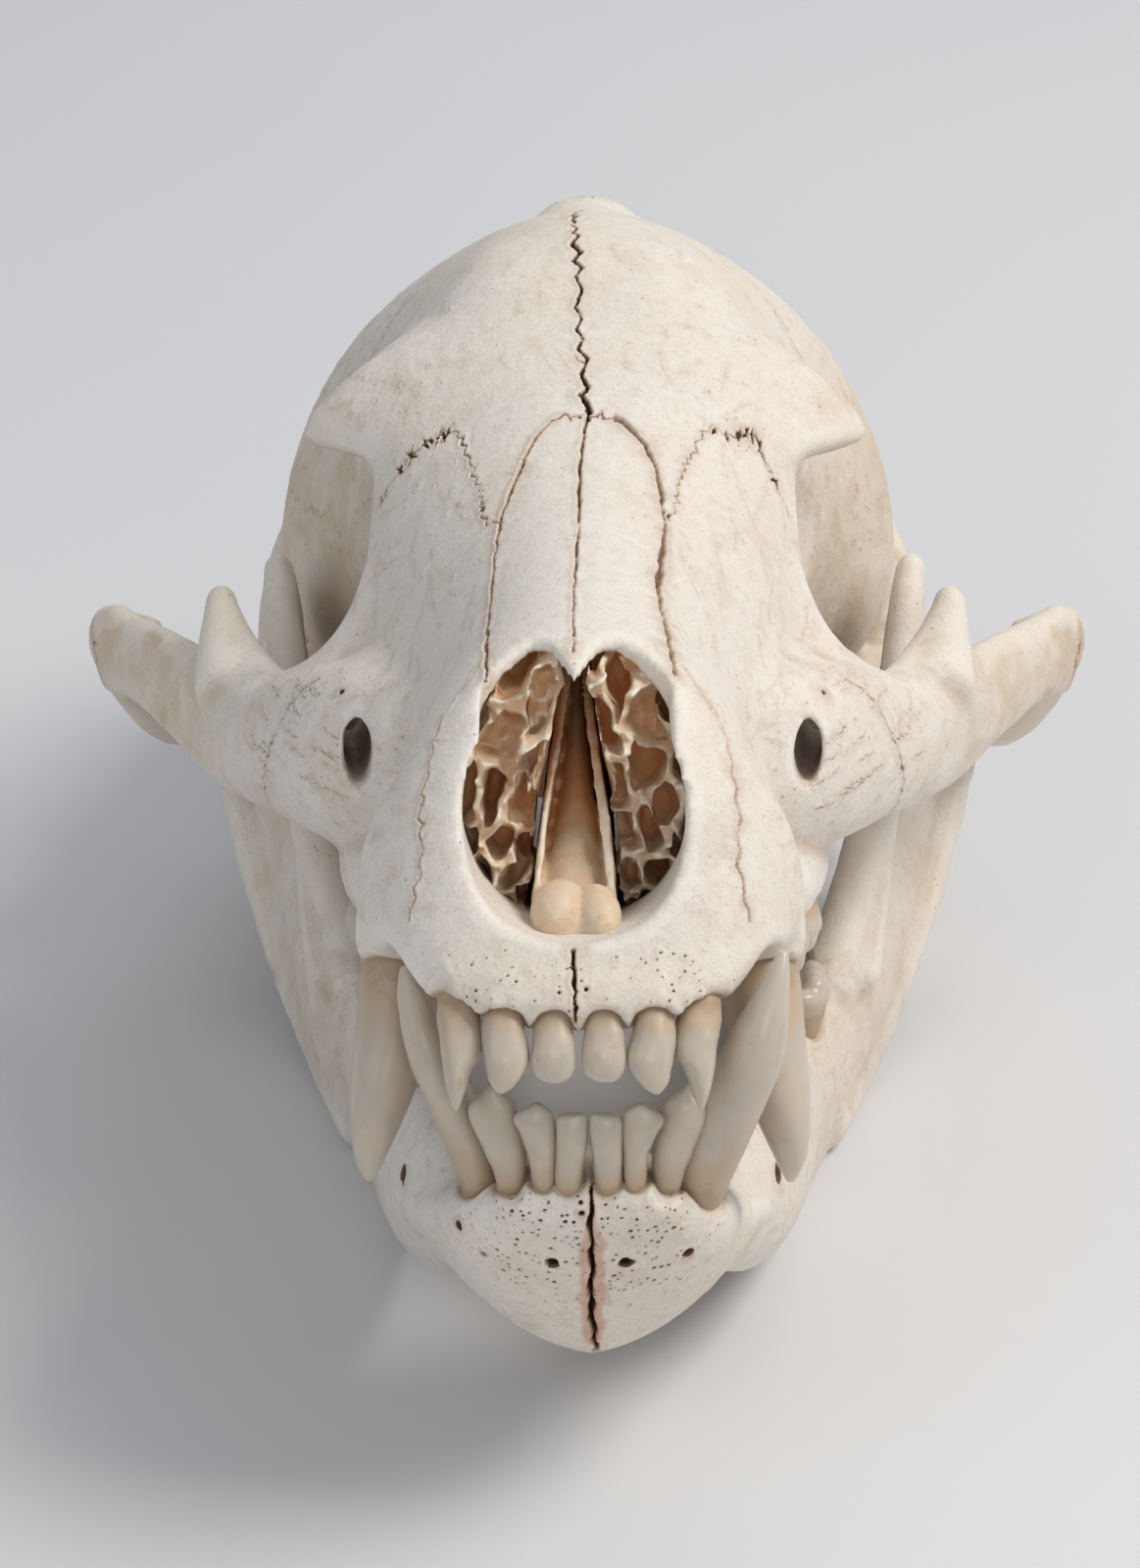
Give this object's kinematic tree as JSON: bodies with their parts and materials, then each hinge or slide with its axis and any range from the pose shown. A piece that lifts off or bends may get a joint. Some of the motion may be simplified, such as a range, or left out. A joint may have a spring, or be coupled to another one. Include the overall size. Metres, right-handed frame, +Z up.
{
  "type": "black bear skull",
  "caption": "Still life-size black bear skull with lower jaw, mouth slightly open, resting on the jaw's lower edge.",
  "frame": {"origin": "centre of the bounding box's bottom face, on the surface that the skull rests on", "axes": "+Z up, the snout points to -Y and the back of the head to +Y, +X is the animal's left side"},
  "size_m": [0.1524, 0.2587, 0.1267],
  "materials": {
    "bone_pale": "matt dry bone, cream white, with ivory teeth",
    "bone_tan": "matt porous dry bone, stained tan in its pits",
    "bone_jaw": "matt dry bone, cream white, with ivory teeth",
    "bone_inner": "matt thin bone of the nose's inside, orange brown"
  },
  "bodies": {
    "root": {"frontal_left": "bone_pale", "frontal_right": "bone_pale", "mandible_left": "bone_jaw", "mandible_right": "bone_jaw", "maxilla_left": "bone_pale", "maxilla_right": "bone_pale", "nasal_left": "bone_pale", "nasal_right": "bone_pale", "parietal_left": "bone_pale", "parietal_right": "bone_pale", "premaxilla_left": "bone_pale", "premaxilla_right": "bone_pale", "skull_base": "bone_pale", "temporal_left": "bone_tan", "temporal_right": "bone_tan", "turbinate_left": "bone_inner", "turbinate_right": "bone_inner", "vomer": "bone_inner", "zygomatic_left": "bone_tan", "zygomatic_right": "bone_tan"}
  },
  "joints": []
}
